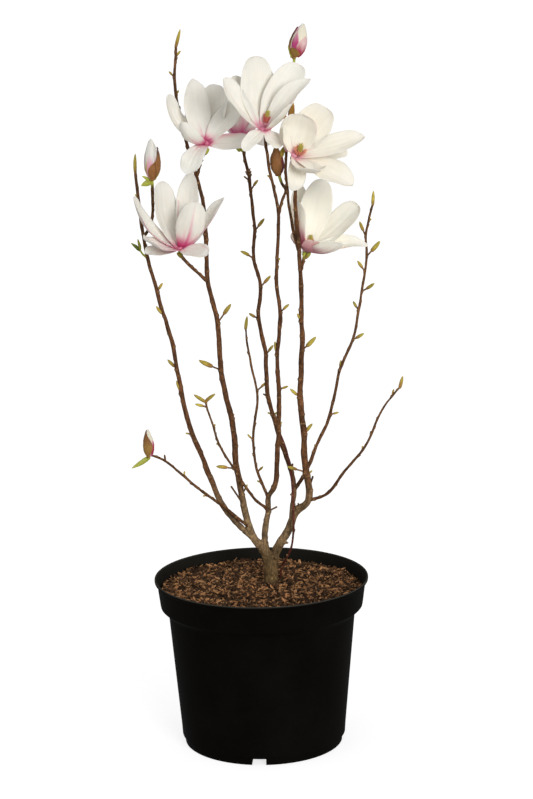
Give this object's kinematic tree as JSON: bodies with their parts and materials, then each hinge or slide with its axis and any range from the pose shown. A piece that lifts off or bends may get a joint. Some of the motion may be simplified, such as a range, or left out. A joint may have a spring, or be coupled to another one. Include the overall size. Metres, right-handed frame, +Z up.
{
  "type": "potted saucer magnolia",
  "caption": "Young flowering magnolia shrub with thin upright stems and goblet blooms, growing in a round black nursery pot filled with bark mulch.",
  "frame": {"origin": "centre of the pot's flat underside", "axes": "+Z up along the pot's axis; +X to the right and -Y towards the viewer as the plant stands in the picture"},
  "size_m": [0.3186, 0.2784, 0.8733],
  "materials": {
    "black_plastic": "satin black moulded plastic",
    "bark_chips": "loose bark chips, dry and matte",
    "old_bark": "smooth grey-brown bark with fine cracks",
    "young_bark": "dark red-brown bark with pale pores",
    "twig_and_buds": "red-brown twigs with downy yellow-green buds",
    "blossom": "waxy cream tepals with pink bases"
  },
  "bodies": {
    "root": {"pot": "black_plastic", "mulch": "bark_chips", "trunk": "old_bark", "bough_left_inner": "young_bark", "bough_left_outer": "young_bark", "bough_low_left": "young_bark", "bough_centre": "young_bark", "bough_centre_left": "young_bark", "bough_low_centre": "young_bark", "bough_right": "young_bark", "bough_back": "young_bark", "bough_right_outer": "young_bark", "bough_low_right": "young_bark", "basal_shoot": "young_bark", "leader_left": "twig_and_buds", "bloom_upper_left": "blossom", "bloom_lower_left": "blossom", "twigs_left_outer": "blossom", "bud_low_left": "blossom", "bloom_top_centre": "blossom", "bud_centre": "blossom", "twig_centre_left": "twig_and_buds", "twig_low_centre": "twig_and_buds", "bloom_right": "blossom", "bloom_lower_right": "blossom", "leader_top": "blossom", "bloom_back": "blossom", "twig_right_outer": "twig_and_buds", "twig_low_right": "twig_and_buds"}
  },
  "joints": []
}
